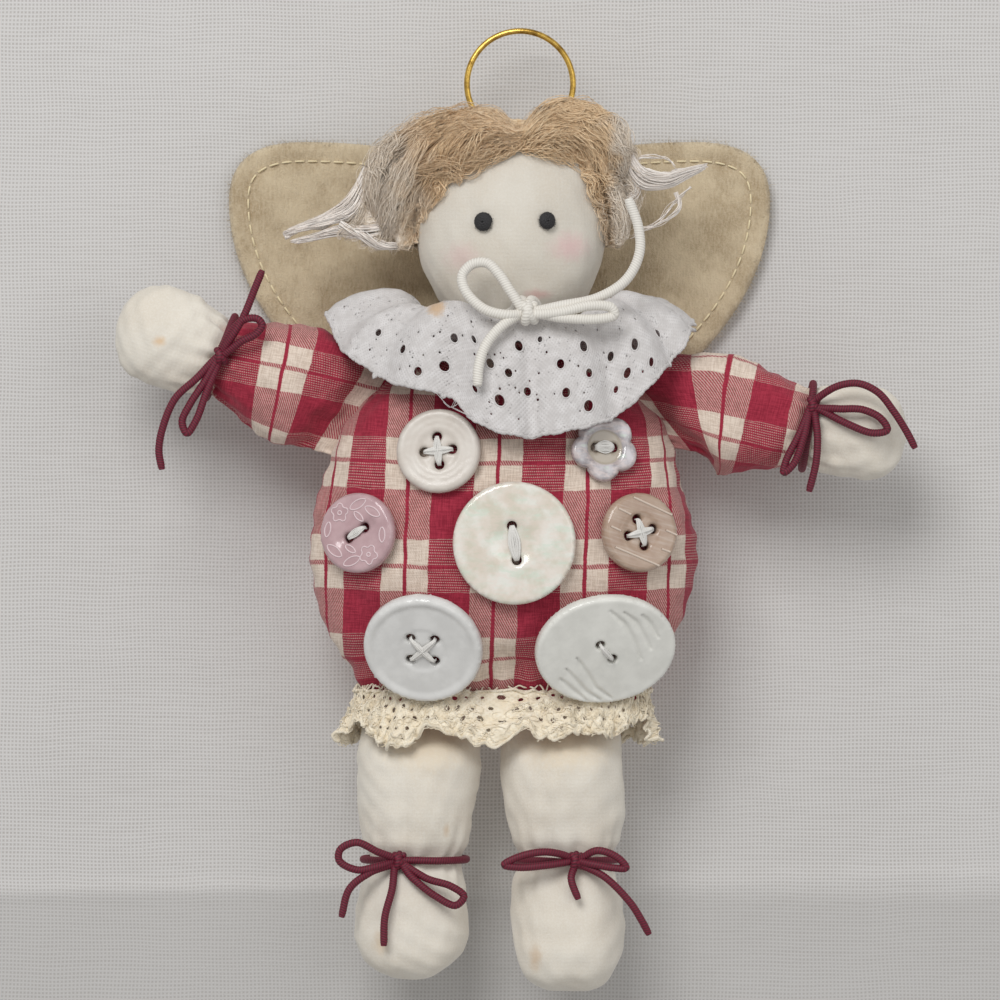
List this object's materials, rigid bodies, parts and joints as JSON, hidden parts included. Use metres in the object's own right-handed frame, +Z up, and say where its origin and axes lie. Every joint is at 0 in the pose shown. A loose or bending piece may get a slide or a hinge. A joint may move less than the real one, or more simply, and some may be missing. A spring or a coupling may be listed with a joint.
{
  "type": "angel doll",
  "caption": "Small stuffed cloth angel with felt wings, lace collar, sewn-on buttons and tied cords, hung by a wire ring that is also its halo.",
  "frame": {"origin": "highest point inside the hanging ring, where a hook or nail carries it", "axes": "+Z up, +X to the viewer's right, the doll faces -Y and its wings are at +Y"},
  "size_m": [0.1591, 0.0469, 0.1922],
  "materials": {
    "brass_wire": "bright drawn wire",
    "muslin": "plain cotton weave",
    "plaid": "red and cream woven check",
    "felt": "wool felt",
    "mohair": "loose mohair",
    "eyelet_lace": "eyelet embroidery on cotton",
    "crochet_lace": "cream crochet",
    "cream_cord": "braided cord",
    "wine_cord": "braided cord with a slight sheen",
    "black_knot": "thread knot",
    "white_thread": "sewing thread",
    "ivory_button": "satin",
    "shell_button": "polished shell",
    "pink_button": "cloudy translucent",
    "pearl_button": "mother of pearl",
    "taupe_button": "horn-like",
    "white_button": "milky"
  },
  "bodies": {
    "torso": {"torso": "plaid", "collar": "eyelet_lace", "neck_bow": "cream_cord", "hem_lace": "crochet_lace", "wing_front_layer": "felt", "wing_back_layer": "felt", "button_ivory": "ivory_button", "button_flower": "shell_button", "button_pink": "pink_button", "button_pearl": "pearl_button", "button_taupe": "taupe_button", "button_white": "white_button", "button_oval": "white_button", "thread_ivory": "white_thread", "thread_flower": "white_thread", "thread_pink": "white_thread", "thread_pearl": "white_thread", "thread_taupe": "white_thread", "thread_white": "white_thread", "thread_oval": "white_thread"},
    "head": {"head": "muslin", "hair": "mohair", "eye_left": "black_knot", "eye_right": "black_knot", "ring_tack": "white_thread"},
    "ring": {"halo_ring": "brass_wire"},
    "arm_left": {"sleeve_left": "plaid", "hand_left": "muslin", "wrist_bow_left": "wine_cord"},
    "arm_right": {"sleeve_right": "plaid", "hand_right": "muslin", "wrist_bow_right": "wine_cord"},
    "leg_left": {"leg_left": "muslin", "ankle_bow_left": "wine_cord"},
    "leg_right": {"leg_right": "muslin", "ankle_bow_right": "wine_cord"}
  },
  "joints": [
    {"name": "neck_nod", "type": "hinge", "parent": "torso", "child": "head", "pos_m": [-0.0016, -0.00835, -0.06175], "axis": [1, 0, 0], "range_deg": [0, 15], "stiffness_Nm_per_rad": 0.03, "deforming": ["collar", "neck_bow"]},
    {"name": "ring_tip", "type": "hinge", "parent": "head", "child": "ring", "pos_m": [0, 0, -0.0206], "axis": [1, 0, 0], "range_deg": [-40, 3]},
    {"name": "shoulder_left", "type": "hinge", "parent": "torso", "child": "arm_left", "pos_m": [-0.03263, -0.00835, -0.0744], "axis": [0.6624, 0, 0.7492], "range_deg": [-25, 40], "deforming": ["collar"]},
    {"name": "shoulder_right", "type": "hinge", "parent": "torso", "child": "arm_right", "pos_m": [0.02583, -0.00835, -0.0744], "axis": [0.6624, 0, -0.7492], "range_deg": [-25, 40], "deforming": ["collar"]},
    {"name": "hip_left", "type": "hinge", "parent": "torso", "child": "leg_left", "pos_m": [-0.0196, -0.00835, -0.13465], "axis": [-1, 0, 0], "range_deg": [-25, 50], "deforming": ["hem_lace"]},
    {"name": "hip_right", "type": "hinge", "parent": "torso", "child": "leg_right", "pos_m": [0.008, -0.00835, -0.13465], "axis": [-1, 0, 0], "range_deg": [-25, 50], "deforming": ["hem_lace"]}
  ]
}
